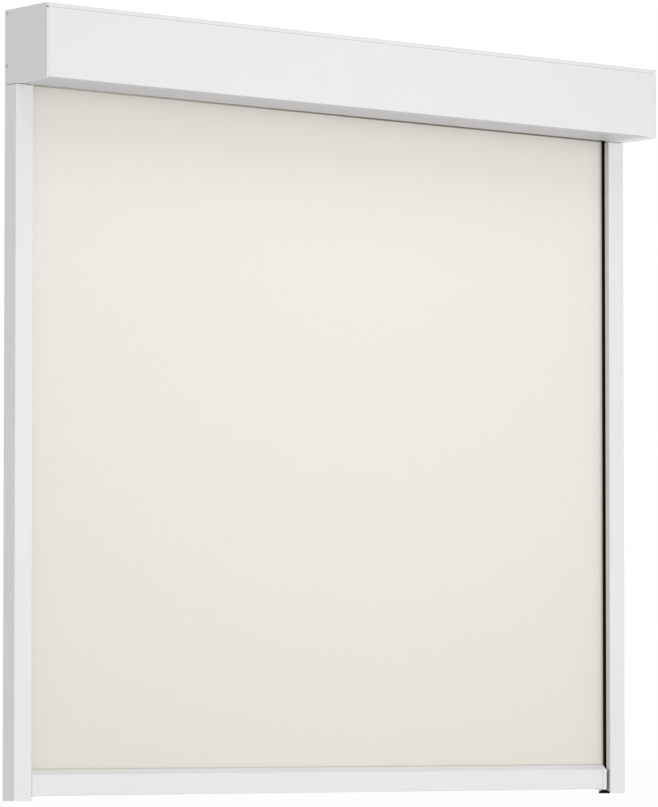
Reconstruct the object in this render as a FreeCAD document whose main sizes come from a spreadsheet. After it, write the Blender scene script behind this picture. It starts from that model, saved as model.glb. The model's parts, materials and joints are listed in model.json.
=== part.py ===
import FreeCAD, Part
import os
import Sketcher

# Exterior roller blind with a square cassette, two guide rails, a zip-guided screen and a bottom bar.
# Millimetres. X runs along the width, the wall is the plane Y = 0, the front looks along -Y, Z is up.
# The origin is the centre of the four outer wall screws, so it lies at mid length of the rails.

doc = FreeCAD.newDocument("exterior_roller_blind")

# Driving sizes

SIZES = [
    # Cassette
    ("overall_width", 1080.0),
    ("box_height", 100.0),
    ("box_depth", 98.0),
    ("box_wall", 1.8),               # wall of both cassette extrusions
    ("box_low_radius", 3.0),         # front lower edge
    ("box_top_radius", 2.5),         # front upper edge
    ("nose_height", 5.4),            # strip of the housing that shows above the cover
    ("seam_gap", 0.3),               # open joint between nose and cover
    ("seam_notch", 4.5),             # depth of the notch beside it in the end cap's edge
    ("notch_height", 2.0),
    ("slot_depth", 28.7),            # wall to the rear edge of the underside
    ("rear_lip", 6.0),               # upturned rear edge of the underside
    ("hook_gap", 0.3),               # room round hooks and inserts
    ("tongue_wall", 1.4),            # cover's hook and the rib that holds it
    ("hook_shoulder", 3.0),          # thick part of the cover below its hook
    ("joint_gap", 0.15),             # hairline between two pieces in line
    ("fit_gap", 0.25),               # slack between pieces that are pushed together
    ("cut_margin", 1.0),             # how far a cut runs past a face
    # End caps and their screws
    ("cap_thickness", 3.5),
    ("rim_depth", 8.0),              # rims that reach into the extrusions
    ("rim_wall", 1.6),
    ("rim_corner", 13.0),            # rims stop this far from the corners
    ("blind_skin", 1.0),             # left at the bottom of a blind hole
    ("screw_radius", 1.7),
    ("head_reach", 1.7),             # head beyond the shank, and its height
    ("screw_slack", 0.05),           # round every screw
    ("socket_radius", 1.4),
    ("socket_depth", 1.3),
    ("cap_screw_length", 22.0),
    ("cap_screw_in", 5.0),           # from the wall
    ("cap_screw_top", 4.3),          # upper one, below the roof
    ("boss_wall", 1.65),             # round the screw channels
    ("channel_slit", 1.4),
    ("cover_screw_y", 60.0),         # screws of the front cover, from the wall
    ("cover_screw_length", 9.0),
    ("foot_plate", 3.0),             # foot of the end cap on top of the rail
    ("spigot_length", 25.0),
    # Guide rails
    ("rail_length", 954.0),
    ("rail_depth", 26.0),
    ("rail_wall", 1.6),              # snap-on cover
    ("cover_gap", 0.8),              # top of the same to the cassette
    ("rail_edge_radius", 1.2),
    ("barb_reach", 1.2),
    ("base_wall", 1.5),
    ("base_back", 2.0),
    ("screw_chamber", 9.3),          # room for the wall screw's head
    ("hook_reach", 3.0),             # hook in front of the zip channel
    ("wall_screw_radius", 2.75),
    ("wall_screw_inset", 60.0),      # outer wall screws, from the rail's ends
    ("channel_width", 10.9),         # zip channel
    ("channel_half", 5.7),           # half of its depth
    ("channel_wall", 1.2),
    ("mouth_half", 1.5),             # half of the slit in the zip channel
    ("mouth_lip", 1.4),
    ("guide_height", 20.9),          # inlet guide above the rail
    ("guide_wall", 1.3),
    ("boss_gap", 0.5),               # inlet guide to the screw channel above it
    ("stop_gap", 1.8),               # top of the bottom stop to the bar
    ("stop_plate", 2.6),             # height of its plate
    ("stop_reach", 7.5),             # how far the plate stands out of the rail
    ("stop_root", 3.8),              # the same at its back
    ("stop_flank", 6.6),             # in line with the front of the channel
    ("stop_tip", 1.2),               # and at its front
    ("stop_widest", 9.0),            # its widest place, from the wall
    ("stop_recess", 2.0),            # its front behind the front of the rails
    # Screen
    ("fabric_plane", 10.4),          # middle of the screen, from the wall
    ("fabric_thickness", 0.5),
    ("bead_radius", 2.2),
    ("tape_width", 4.5),             # screen edge to the bead's middle
    # Bottom bar
    ("bar_rise", 6.3),               # underside of the bar above the rail's end
    ("bar_height", 35.0),
    ("bar_recess", 5.0),             # front of the bar behind the front of the rails
    ("bar_back", 3.0),               # back of the bar off the wall
    ("bar_side_gap", 1.2),           # end of the bar to the rail
    ("bar_cap_width", 9.5),
    ("cap_proud", 0.8),              # how far the bar's cap stands out of the profile
    ("groove_width", 0.5),           # joint beside the bar's cap
    ("groove_depth", 1.6),
    ("pad_wall", 0.8),               # pad between the bar's end and the rail
    ("pad_recess", 2.5),             # its front behind the front of the rails
    ("bar_edge_radius", 1.5),
    ("bar_corner_radius", 4.0),
    ("bar_wall", 2.0),
    ("bar_web", 1.0),
    ("bar_plug", 7.5),               # plug of the bar's cap
    ("bar_screw_front", 4.0),        # cap screw behind the bar's front
    ("bar_screw_top", 9.0),          # and below its top
    ("front_shoulder", 7.0),         # height of the sloped front top
    ("back_shoulder", 4.0),
    ("bar_lips", 2.6),               # half width of the flat beside the screen
    ("hem_radius", 2.6),             # rod in the hem
    ("hem_depth", 5.5),              # below the top of the bar
    ("bar_slit", 1.8),
    ("weight_room", 0.7),            # between the weight and its chamber
    ("weight_floor", 9.5),
    ("slider_height", 22.0),
    ("slider_low", 6.5),
    ("slider_neck", 2.0),
    ("slider_head", 6.0),
    ("slider_seat", 6.0),            # depth of its seat in the bar's cap
    ("slider_chamfer", 1.5),
    ("seal_slot", 4.0),
    ("seal_lip", 1.6),
    # Roller
    ("tube_radius", 31.5),
    ("tube_wall", 1.4),
    ("tube_gap", 1.8),               # tube's flange to the boss of the bearing
    ("roll_gap", 0.3),               # air between two turns
    ("roll_seat", 0.1),              # first turn off the tube
    ("keder_radius", 1.8),
    ("keder_depth", 3.2),
    ("keder_boss", 3.2),
    ("adapter_fit", 0.2),            # wheels and plug in the tube
    ("flange_wall", 1.5),
    ("plug_length", 18.0),
    ("crown_length", 15.0),
    ("hole_land", 2.0),              # beside the holes of a wheel
    ("shaft_radius", 6.0),
    ("shaft_seat", 12.0),            # length of the shaft in the motor
    ("running_gap", 0.05),           # shafts in their bores
    ("wheel_width", 14.0),
    ("wheel_gap", 2.0),              # drive wheel to the motor's end
    ("motor_room", 2.6),             # motor to the tube's inner channel
    ("motor_length", 420.0),
    ("motor_edge", 2.0),
    ("sleeve_step", 0.5),            # motor head's sleeve beyond the motor's radius
    ("head_radius", 28.0),
    ("head_flat", 2.0),
    ("head_flange", 6.0),
    ("head_square", 16.0),
    ("bracket_plate", 4.0),
    ("bracket_edge", 2.6),           # beyond the heads of its screws
    ("bracket_radius", 3.0),
    ("bracket_screw_at", 19.0),
    ("bearing_radius", 12.0),
    ("bearing_width", 7.0),
    ("bearing_inset", 1.0),          # in the bracket's plate
    ("bearing_boss", 4.0),           # wall of the boss round the bearing
    ("bearing_ring", 1.5),
    ("bearing_shield", 0.5),         # shields below the rings' faces
    ("pin_shoulder", 2.0),
    ("pin_edge", 0.5),
    # Cable outlet, on the motor's side
    ("grommet_bore", 3.5),
    ("grommet_wall", 2.4),
    ("grommet_flange", 1.8),
    ("grommet_chamfer", 0.7),
    ("grommet_side", 34.0),          # from the outside of the end cap
    ("grommet_top", 18.0),           # below the roof
]

sheet = doc.addObject("Spreadsheet::Sheet", "Sizes")
for row, (alias, number) in enumerate(SIZES, start=1):
    sheet.set(f"A{row}", alias)
    sheet.set(f"B{row}", str(number))
    sheet.setAlias(f"B{row}", alias)
doc.recompute()


class Size:
    """A length: its number, and the expression on the sheet's cells that gives it."""

    def __init__(self, number, text):
        self.number = number
        self.text = text

    def __add__(self, other):
        other = as_size(other)
        return Size(self.number + other.number, f"({self.text} + {other.text})")

    def __sub__(self, other):
        other = as_size(other)
        return Size(self.number - other.number, f"({self.text} - {other.text})")

    def __mul__(self, factor):
        return Size(self.number * factor, f"({self.text} * ({factor}))")

    def __truediv__(self, divisor):
        return Size(self.number / divisor, f"({self.text} / {divisor})")

    def __neg__(self):
        return self * -1


def as_size(value):
    if isinstance(value, Size):
        return value
    return Size(float(value), f"({float(value)})")


def smaller(one, other):
    return Size(min(one.number, other.number), f"min({one.text}; {other.text})")


class Sheet:
    """Gives each driving size by its name."""

    def __getattr__(self, alias):
        return Size(float(sheet.get(alias)), f"Sizes.{alias}")


S = Sheet()
ZERO = as_size(0)
SIDES = (("left", -1), ("right", 1))

# Across the rail, measured from its outer face

barb_tip = S.rail_wall + S.barb_reach
base_outer = barb_tip + S.hook_gap
chamber_outer = base_outer + S.base_wall
chamber_inner = chamber_outer + S.screw_chamber
web_inner = chamber_inner + S.base_wall
channel_outer = web_inner + S.hook_gap
channel_inner = channel_outer + S.channel_width
cavity_outer = channel_outer + S.channel_wall
cavity_inner = channel_inner - S.mouth_lip
rail_width = channel_inner + S.hook_gap + S.rail_wall
mouth_face = rail_width - S.fit_gap
bead_middle = (cavity_outer + cavity_inner) / 2
fabric_edge = bead_middle + S.tape_width
wall_screw_at = (chamber_outer + chamber_inner) / 2

# From the wall to the front

channel_back = S.fabric_plane - S.channel_half
channel_front = S.fabric_plane + S.channel_half
guide_flare = channel_back - S.box_wall - S.fit_gap
lip_end = channel_front + S.hook_gap * 2
bar_front = S.rail_depth - S.bar_recess

# Along the width and the height

half_width = S.overall_width / 2
rail_bottom = -(S.rail_length / 2)
box_bottom = S.rail_length / 2
cap_inner = half_width - S.cap_thickness
box_half = cap_inner - S.joint_gap
rim_inner = cap_inner - S.rim_depth
bracket_face = cap_inner - S.bracket_plate
bar_bottom = rail_bottom + S.bar_rise
stop_height = S.bar_rise - S.stop_gap
bar_cap_end = half_width - rail_width - S.bar_side_gap
bar_half = bar_cap_end - S.bar_cap_width

# Screws and what they go through

hole_radius = S.screw_radius + S.screw_slack
head_radius = S.screw_radius + S.head_reach
boss_radius = hole_radius + S.boss_wall

# Roller

ROLL_TURNS = 1.5                     # turns left on the tube when the screen is down
pitch = S.fabric_thickness + S.roll_gap
roll_start = S.tube_radius + S.roll_seat
axis_y = -(S.fabric_plane + roll_start + pitch * ROLL_TURNS + S.fabric_thickness / 2)
axis_level = S.box_height / 2
axis_z = box_bottom + axis_level
bearing_out = S.bearing_width - S.bearing_inset
flange_reach = S.adapter_fit + S.flange_wall
tube_end = bracket_face - bearing_out - S.tube_gap - flange_reach
tube_bore = S.tube_radius - S.tube_wall
keder_middle = -(S.tube_radius - S.keder_depth)
keder_reach = keder_middle + S.keder_boss
wheel_radius = tube_bore - S.adapter_fit
shaft_bore = S.shaft_radius + S.running_gap
motor_radius = -keder_reach - S.motor_room
sleeve_radius = motor_radius + S.sleeve_step
motor_high = tube_end - S.crown_length
motor_low = motor_high - S.motor_length


class Piece:
    """One sub-part: a body whose features follow each other."""

    def __init__(self, label, x=ZERO, y=ZERO, z=ZERO):
        self.body = doc.addObject("PartDesign::Body", label)
        self.body.Label = label
        for axis, goal in (("x", x), ("y", y), ("z", z)):
            self.body.setExpression(f"Placement.Base.{axis}", goal.text)
        PIECES.append(self.body)

    def sketch(self, plane, start, shapes):
        """Draws the shapes parallel to an origin plane, moved by start along the plane's normal."""
        sketch = self.body.newObject("Sketcher::SketchObject", "sketch")
        planes = self.body.Origin.OriginFeatures
        support = [feature for feature in planes if feature.Role == plane + "_Plane"]
        sketch.AttachmentSupport = [(support[0], "")]
        sketch.MapMode = "FlatFace"
        sketch.setExpression("AttachmentOffset.Base.z", start.text)
        draw(sketch, shapes)
        return sketch

    def finish(self, feature, grows):
        """Recomputes, and stops if the feature didn't add or take away material as it should."""
        doc.recompute()
        before = feature.BaseFeature.Shape.Volume if feature.BaseFeature else 0.0
        change = feature.Shape.Volume - before
        if change == 0 or (change > 0) != grows:
            raise RuntimeError(f"{self.body.Label}: {feature.Name} changed the volume by {change:.1f}")
        return feature

    def pad(self, plane, shapes, start, length):
        """Material between start and start + length along the plane's normal."""
        sketch = self.sketch(plane, start, shapes)
        pad = self.body.newObject("PartDesign::Pad", "pad")
        pad.Profile = sketch
        pad.setExpression("Length", length.text)
        return self.finish(pad, True)

    def cut(self, plane, shapes, start, length):
        """The same for material that goes away."""
        sketch = self.sketch(plane, start, shapes)
        pocket = self.body.newObject("PartDesign::Pocket", "pocket")
        pocket.Profile = sketch
        pocket.Reversed = True
        pocket.setExpression("Length", length.text)
        return self.finish(pocket, False)

    def turn(self, shapes, axis):
        """Material swept round the X axis (H_Axis) or the Y axis (V_Axis) of the XY plane."""
        sketch = self.sketch("XY", ZERO, shapes)
        turned = self.body.newObject("PartDesign::Revolution", "turned")
        turned.Profile = sketch
        turned.ReferenceAxis = (sketch, [axis])
        turned.Angle = 360
        return self.finish(turned, True)

    def loft(self, kind, plane, low, high, start, length):
        """A body between two shapes, added (AdditiveLoft) or taken away (SubtractiveLoft)."""
        near = self.sketch(plane, start, [low])
        far = self.sketch(plane, start + length, [high])
        loft = self.body.newObject("PartDesign::" + kind, "loft")
        loft.Profile = near
        loft.Sections = [far]
        loft.Ruled = True
        return self.finish(loft, kind == "AdditiveLoft")

    def around(self, feature, count):
        """Repeats a feature round the X axis through the piece's own origin."""
        pattern = self.body.newObject("PartDesign::PolarPattern", "around")
        pattern.Originals = [feature]
        pattern.Axis = (feature.Profile[0], ["N_Axis"])
        pattern.Angle = 360
        pattern.Occurrences = count
        self.body.Tip = pattern
        doc.recompute()

    def soften(self, kind, amount, places):
        """Fillets (Radius) or chamfers (Size) the straight edges that pass the places."""
        tip = self.body.Tip
        names = []
        for number, edge in enumerate(tip.Shape.Edges, start=1):
            if any(passes(edge, place) for place in places):
                names.append(f"Edge{number}")
        if len(names) < len(places):
            raise RuntimeError(f"{self.body.Label}: {len(names)} edges for {len(places)} places")
        feature = self.body.newObject("PartDesign::" + kind, "soft_edge")
        feature.Base = (tip, names)
        feature.setExpression("Radius" if kind == "Fillet" else "Size", amount.text)
        doc.recompute()


PIECES = []
NEAR = 0.02


def passes(edge, place):
    """Whether an edge runs along the place's free axis (None) and has its two coordinates."""
    middle = edge.valueAt((edge.FirstParameter + edge.LastParameter) / 2)
    ends = [vertex.Point for vertex in edge.Vertexes]
    free = place.index(None)
    if len(ends) != 2 or abs(ends[0][free] - ends[1][free]) < edge.Length * 0.99:
        return False
    return all(goal is None or abs(value - goal.number) < NEAR for value, goal in zip(middle, place))


def draw(sketch, shapes):
    """Draws closed outlines (lists of points) and circles (tuples of centre and radius)."""
    for shape in shapes:
        if isinstance(shape, tuple):
            draw_circle(sketch, *shape)
        else:
            draw_outline(sketch, shape)


def bind(sketch, kind, where, goal):
    index = sketch.addConstraint(Sketcher.Constraint(kind, *where, goal.number))
    sketch.setExpression(f"Constraints[{index}]", goal.text)


def bind_point(sketch, geometry, point, u, v):
    """Holds a point of the geometry at its two distances from the sketch's origin."""
    bind(sketch, "DistanceX", (-1, 1, geometry, point), u)
    bind(sketch, "DistanceY", (-1, 1, geometry, point), v)


def draw_outline(sketch, points):
    first = sketch.GeometryCount
    corners = [FreeCAD.Vector(u.number, v.number, 0) for u, v in points]
    for start, end in zip(corners, corners[1:] + corners[:1]):
        sketch.addGeometry(Part.LineSegment(start, end))
    for index, (u, v) in enumerate(points):
        before = first + (index - 1) % len(points)
        sketch.addConstraint(Sketcher.Constraint("Coincident", before, 2, first + index, 1))
        bind_point(sketch, first + index, 1, u, v)


def draw_circle(sketch, u, v, radius):
    centre = FreeCAD.Vector(u.number, v.number, 0)
    circle = sketch.addGeometry(Part.Circle(centre, FreeCAD.Vector(0, 0, 1), radius.number))
    bind_point(sketch, circle, 3, u, v)
    bind(sketch, "Radius", (circle,), radius)


def rectangle(u_low, u_high, v_low, v_high):
    return [(u_low, v_low), (u_high, v_low), (u_high, v_high), (u_low, v_high)]


def start_of(side, near, far):
    """Where the stretch between near and far from the middle starts along X, on either side."""
    return near if side > 0 else -far


# Screws

def screw(name, length):
    """A countersunk screw along Z, its head's face at the origin and its point below."""
    shank = doc.addObject("Part::Cylinder", name + "_shank")
    shank.setExpression("Radius", S.screw_radius.text)
    shank.setExpression("Height", length.text)
    shank.setExpression("Placement.Base.z", (-length).text)
    head = doc.addObject("Part::Cone", name + "_head")
    head.setExpression("Radius1", S.screw_radius.text)
    head.setExpression("Radius2", head_radius.text)
    head.setExpression("Height", S.head_reach.text)
    head.setExpression("Placement.Base.z", (-S.head_reach).text)
    socket = doc.addObject("Part::Prism", name + "_socket")
    socket.Polygon = 6
    socket.setExpression("Circumradius", S.socket_radius.text)
    socket.setExpression("Height", (S.socket_depth + S.cut_margin).text)
    socket.setExpression("Placement.Base.z", (-S.socket_depth).text)
    whole = doc.addObject("Part::Fuse", name + "_whole")
    whole.Base = shank
    whole.Tool = head
    result = doc.addObject("Part::Cut", name)
    result.Base = whole
    result.Tool = socket
    return result


def place(item, x, y, z, rotation):
    item.Placement = FreeCAD.Placement(FreeCAD.Vector(), rotation)
    for axis, goal in (("x", x), ("y", y), ("z", z)):
        item.setExpression(f"Placement.Base.{axis}", goal.text)
    return item


def screw_group(label, screws):
    group = doc.addObject("Part::Compound", label)
    group.Label = label
    group.Links = screws
    PIECES.append(group)


def facing_x(side):
    return FreeCAD.Rotation(FreeCAD.Vector(0, 1, 0), 90 * side)


FACING_DOWN = FreeCAD.Rotation(FreeCAD.Vector(1, 0, 0), 180)


def screw_hole(piece, plane, u, v, face, inward, depth):
    """A hole from face to face + depth in the direction inward, with a seat for the head."""
    start = face if inward > 0 else face - depth
    piece.cut(plane, [(u, v, hole_radius)], start, depth)
    wide = head_radius + S.screw_slack
    piece.loft("SubtractiveLoft", plane, (u, v, wide), (u, v, wide - S.head_reach), face,
               S.head_reach * inward)


# Cassette: its pieces are measured from its underside

roof = S.box_height
front = -S.box_depth
inner_front = front + S.box_wall
inset = S.box_wall + S.fit_gap
nose_end = roof - S.nose_height
cover_top = nose_end - S.seam_gap
roof_inner = roof - S.box_wall
tongue_outer = inner_front + S.hook_gap
tongue_inner = tongue_outer + S.tongue_wall
rib_outer = tongue_inner + S.hook_gap
rib_inner = rib_outer + S.tongue_wall
low_screw = S.guide_height + S.boss_gap + boss_radius
cap_screw_levels = (roof - S.cap_screw_top, low_screw)
cover_screw_x = (cap_inner + rim_inner) / 2


def housing():
    """Back wall, roof and nose in one extrusion, with the channels that take the end cap screws."""
    piece = Piece("housing", z=box_bottom)
    low = -box_half
    length = box_half * 2
    piece.pad("YZ", [[
        (ZERO, ZERO),
        (ZERO, roof),
        (front, roof),
        (front, nose_end),
        (inner_front, nose_end),
        (inner_front, roof_inner),
        (rib_outer, roof_inner),
        (rib_outer, nose_end),
        (rib_inner, nose_end),
        (rib_inner, roof_inner),
        (-S.box_wall, roof_inner),
        (-S.box_wall, ZERO),
    ]], low, length)
    for level in cap_screw_levels:
        piece.pad("YZ", [(-S.cap_screw_in, level, boss_radius)], low, length)
        piece.cut("YZ", [(-S.cap_screw_in, level, hole_radius)], low, length)
        slit_end = S.cap_screw_in + boss_radius + S.cut_margin
        slit = rectangle(-slit_end, -S.cap_screw_in, level - S.channel_slit / 2,
                         level + S.channel_slit / 2)
        piece.cut("YZ", [slit], low, length)
    outlet = (half_width - S.grommet_side, roof - S.grommet_top, S.grommet_bore + S.grommet_wall)
    piece.cut("XZ", [outlet], ZERO, S.box_wall)
    piece.soften("Fillet", S.box_top_radius, [(None, front, roof)])


def front_cover():
    """Front wall and underside in one extrusion that hooks behind the nose."""
    piece = Piece("front_cover", z=box_bottom)
    tongue_top = roof_inner - S.hook_gap * 2
    lip_inner = -(S.slot_depth + S.box_wall)
    piece.pad("YZ", [[
        (front, ZERO),
        (front, cover_top),
        (tongue_outer, cover_top),
        (tongue_outer, tongue_top),
        (tongue_inner, tongue_top),
        (tongue_inner, cover_top - S.hook_shoulder),
        (inner_front, cover_top - S.hook_shoulder * 2),
        (inner_front, S.box_wall),
        (lip_inner, S.box_wall),
        (lip_inner, S.rear_lip),
        (-S.slot_depth, S.rear_lip),
        (-S.slot_depth, ZERO),
    ]], -box_half, box_half * 2)
    for _, side in SIDES:
        screw_hole(piece, "XY", cover_screw_x * side, -S.cover_screw_y, ZERO, 1, S.box_wall)
    piece.soften("Fillet", S.box_low_radius, [(None, front, ZERO)])


def end_cap(name, side):
    """Side cheek: plate, rims, screw block, and the foot and spigot that stand on the rail."""
    piece = Piece("end_cap_" + name, z=box_bottom)
    notch = front + S.seam_notch
    notch_top = nose_end + (S.notch_height - S.seam_gap) / 2
    notch_low = notch_top - S.notch_height
    piece.pad("YZ", [[
        (ZERO, ZERO),
        (ZERO, roof),
        (front, roof),
        (front, notch_top),
        (notch, notch_top),
        (notch, notch_low),
        (front, notch_low),
        (front, ZERO),
    ]], start_of(side, cap_inner, half_width), S.cap_thickness)
    piece.soften("Fillet", S.box_low_radius, [(None, front, ZERO)])
    piece.soften("Fillet", S.box_top_radius, [(None, front, roof)])
    front_rim = front + inset
    rims = [
        rectangle(front + S.rim_corner, -S.rim_corner, roof - inset - S.rim_wall, roof - inset),
        rectangle(front_rim, front_rim + S.rim_wall, S.rim_corner,
                  cover_top - S.hook_shoulder * 2 - S.fit_gap),
        rectangle(front + S.rim_corner, -(S.slot_depth + inset), inset, inset + S.rim_wall),
        rectangle(-(inset + S.rim_wall), -inset, low_screw + boss_radius * 2, roof - S.rim_corner),
    ]
    rim_start = start_of(side, rim_inner, cap_inner)
    piece.pad("YZ", rims, rim_start, S.rim_depth)
    block_top = S.cover_screw_length + hole_radius
    block = rectangle(-(S.cover_screw_y + head_radius), -(S.cover_screw_y - head_radius), inset,
                      block_top)
    piece.pad("YZ", [block], rim_start, S.rim_depth)
    cover_screw = (cover_screw_x * side, -S.cover_screw_y, hole_radius)
    piece.cut("XY", [cover_screw], ZERO, S.cover_screw_length + S.fit_gap)
    for level in cap_screw_levels:
        screw_hole(piece, "YZ", -S.cap_screw_in, level, half_width * side, -side, S.cap_thickness)
    rail_inner = half_width - rail_width
    foot = rectangle(-(S.rail_depth - S.fit_gap), -inset, ZERO, S.foot_plate)
    piece.pad("YZ", [foot], start_of(side, rail_inner, cap_inner), cap_inner - rail_inner)
    opening = rectangle((rail_inner - S.cut_margin) * side,
                        (half_width - channel_outer + S.hook_gap) * side,
                        -(channel_front + guide_flare), ZERO)
    piece.cut("XY", [opening], ZERO, S.foot_plate)
    spigot = rectangle((half_width - chamber_outer - S.fit_gap) * side,
                       (half_width - chamber_inner + S.fit_gap) * side,
                       -channel_front, -(S.base_back + S.fit_gap))
    piece.pad("XY", [spigot], -S.spigot_length, S.spigot_length)
    holes = [(axis_y + across, axis_level + up, hole_radius) for across, up in bracket_corners()]
    depth = S.cap_thickness - S.blind_skin
    piece.cut("YZ", holes, start_of(side, cap_inner, cap_inner + depth), depth)


def bracket_corners():
    """The four screws of a roller bracket, from the roller's axis."""
    at = S.bracket_screw_at
    return [(at * across, at * up) for across in (-1, 1) for up in (-1, 1)]


def cassette_screws():
    """End cap screws, cover screws from below and bracket screws from inside."""
    caps = []
    covers = []
    brackets = []
    bracket_length = S.bracket_plate + S.cap_thickness - S.blind_skin - S.fit_gap
    for name, side in SIDES:
        for number, level in enumerate(cap_screw_levels, start=1):
            item = screw(f"end_cap_screw_{name}_{number}", S.cap_screw_length)
            caps.append(place(item, half_width * side, -S.cap_screw_in, box_bottom + level,
                              facing_x(side)))
        item = screw(f"cover_screw_{name}", S.cover_screw_length)
        covers.append(place(item, cover_screw_x * side, -S.cover_screw_y, box_bottom, FACING_DOWN))
        for number, (across, up) in enumerate(bracket_corners(), start=1):
            item = screw(f"bracket_screw_{name}_{number}", bracket_length)
            brackets.append(place(item, bracket_face * side, axis_y + across, axis_z + up,
                                  facing_x(-side)))
    screw_group("end_cap_screws", caps)
    screw_group("cover_screws", covers)
    screw_group("bracket_screws", brackets)


def cable_grommet():
    """Rubber ring through the back wall, where the motor's cable leaves."""
    piece = Piece("cable_grommet", x=half_width - S.grommet_side, z=box_bottom + roof - S.grommet_top)
    outer = S.grommet_bore + S.grommet_wall - S.screw_slack
    inner_face = -(S.box_wall + S.screw_slack)
    piece.turn([[
        (S.grommet_bore, ZERO),
        (outer, ZERO),
        (outer, inner_face),
        (outer + S.grommet_flange, inner_face),
        (outer + S.grommet_flange, inner_face - S.grommet_flange + S.grommet_chamfer),
        (outer + S.grommet_flange - S.grommet_chamfer, inner_face - S.grommet_flange),
        (S.grommet_bore, inner_face - S.grommet_flange),
    ]], "V_Axis")


# Guide rails

def rail_outline(side, points):
    """Turns points measured from the rail's outer face and from the wall into X and Y."""
    return [((half_width - across) * side, -depth) for across, depth in points]


def rail_cover(name, side):
    """Snap-on extrusion: outer side, front and the lip beside the screen."""
    piece = Piece("rail_cover_" + name)
    barb_low = S.base_back + S.base_wall
    barb_high = barb_low + S.barb_reach
    piece.pad("XY", [rail_outline(side, [
        (ZERO, ZERO),
        (ZERO, S.rail_depth),
        (rail_width, S.rail_depth),
        (rail_width, lip_end),
        (rail_width - S.rail_wall, lip_end),
        (rail_width - S.rail_wall, S.rail_depth - S.rail_wall),
        (S.rail_wall, S.rail_depth - S.rail_wall),
        (S.rail_wall, barb_high + S.barb_reach / 2),
        (barb_tip, barb_high),
        (barb_tip, barb_low),
        (S.rail_wall, barb_low),
        (S.rail_wall, ZERO),
    ])], rail_bottom, S.rail_length - S.cover_gap)
    edges = [((half_width - across) * side, -S.rail_depth, None) for across in (ZERO, rail_width)]
    piece.soften("Fillet", S.rail_edge_radius, edges)


def rail_base(name, side):
    """Extrusion on the wall: screw chamber, web, and the seat of the zip channel."""
    piece = Piece("rail_base_" + name)
    outer = S.rail_wall + S.hook_gap
    inner_lip = channel_back - S.hook_gap
    ridge_low = S.base_back + S.base_wall + S.barb_reach + S.hook_gap * 2
    ridge_high = ridge_low + S.base_wall
    wall_top = ridge_high + S.base_wall
    hook_low = channel_front + S.hook_gap
    hook_high = hook_low + S.base_wall
    piece.pad("XY", [rail_outline(side, [
        (rail_width, ZERO),
        (rail_width, inner_lip),
        (rail_width - S.base_wall, inner_lip),
        (rail_width - S.base_wall, S.base_back),
        (web_inner, S.base_back),
        (web_inner, hook_low),
        (web_inner + S.hook_reach, hook_low),
        (web_inner + S.hook_reach, hook_high),
        (chamber_inner, hook_high),
        (chamber_inner, S.base_back),
        (chamber_outer, S.base_back),
        (chamber_outer, wall_top),
        (base_outer, wall_top),
        (base_outer, ridge_high),
        (outer, ridge_high),
        (outer, ridge_low),
        (base_outer, ridge_low),
        (base_outer, S.base_back),
        (outer, S.base_back),
        (outer, ZERO),
    ])], rail_bottom, S.rail_length)
    outer_level = box_bottom - S.wall_screw_inset
    holes = []
    for level in (-outer_level, ZERO, outer_level):
        holes.append(((half_width - wall_screw_at) * side, level, S.wall_screw_radius))
    piece.cut("XZ", holes, ZERO, S.base_back)


def zip_channel(name, side):
    """Dark plastic insert whose mouth lets the screen through and holds its bead."""
    piece = Piece("zip_channel_" + name)
    cavity_back = channel_back + S.channel_wall
    cavity_front = channel_front - S.channel_wall
    mouth_back = S.fabric_plane - S.mouth_half
    mouth_front = S.fabric_plane + S.mouth_half
    bottom = bar_bottom + S.joint_gap
    piece.pad("XY", [rail_outline(side, [
        (mouth_face, mouth_back),
        (mouth_face, channel_back),
        (channel_outer, channel_back),
        (channel_outer, channel_front),
        (mouth_face, channel_front),
        (mouth_face, mouth_front),
        (cavity_inner, mouth_front),
        (cavity_inner, cavity_front),
        (cavity_outer, cavity_front),
        (cavity_outer, cavity_back),
        (cavity_inner, cavity_back),
        (cavity_inner, mouth_back),
    ])], bottom, box_bottom - bottom)


def inlet_guide(name, side):
    """Funnel on top of the rail that leads the bead into the zip channel."""
    piece = Piece("inlet_guide_" + name)

    def section(inner, outer, half_depth):
        return rectangle((half_width - inner) * side, (half_width - outer) * side,
                         -(S.fabric_plane + half_depth), -(S.fabric_plane - half_depth))

    def flared(kind, inner, outer, low, high):
        piece.loft(kind, "XY", section(inner, outer, low), section(inner, outer, high), box_bottom,
                   S.guide_height)

    top = S.channel_half + guide_flare
    flared("AdditiveLoft", channel_inner, channel_outer, S.channel_half, top)
    flared("SubtractiveLoft", cavity_inner, cavity_outer, S.channel_half - S.channel_wall,
           top - S.guide_wall)
    flared("SubtractiveLoft", channel_inner + S.cut_margin, cavity_inner - S.cut_margin,
           S.mouth_half, S.mouth_half + guide_flare)


HUMP_TOP = 0.4                       # size of the stop's top to its plate


def rail_foot(name, side):
    """Black stop: a plate that closes the channel below, and a hump under the bar's end."""
    piece = Piece("rail_foot_" + name, z=rail_bottom)
    root = rail_width + S.fit_gap
    stop_front = S.rail_depth - S.stop_recess
    under_bar = [
        (rail_width + S.stop_reach, S.stop_widest),
        (rail_width + S.stop_flank, channel_front),
        (rail_width + S.stop_tip, stop_front),
        (root, stop_front),
    ]
    piece.pad("XY", [rail_outline(side, [
        (channel_outer, channel_back),
        (rail_width + S.stop_root, channel_back),
        *under_bar,
        (root, channel_front),
        (channel_outer, channel_front),
    ])], ZERO, S.stop_plate)
    hump = under_bar + [(root, S.stop_widest)]
    peak = (rail_width + S.stop_reach / 2, (S.stop_widest + stop_front) / 2)
    top = [tuple(goal + (start - goal) * HUMP_TOP for start, goal in zip(point, peak)) for point in hump]
    piece.loft("AdditiveLoft", "XY", rail_outline(side, hump), rail_outline(side, top), S.stop_plate,
               stop_height - S.stop_plate)


# Screen

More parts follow.
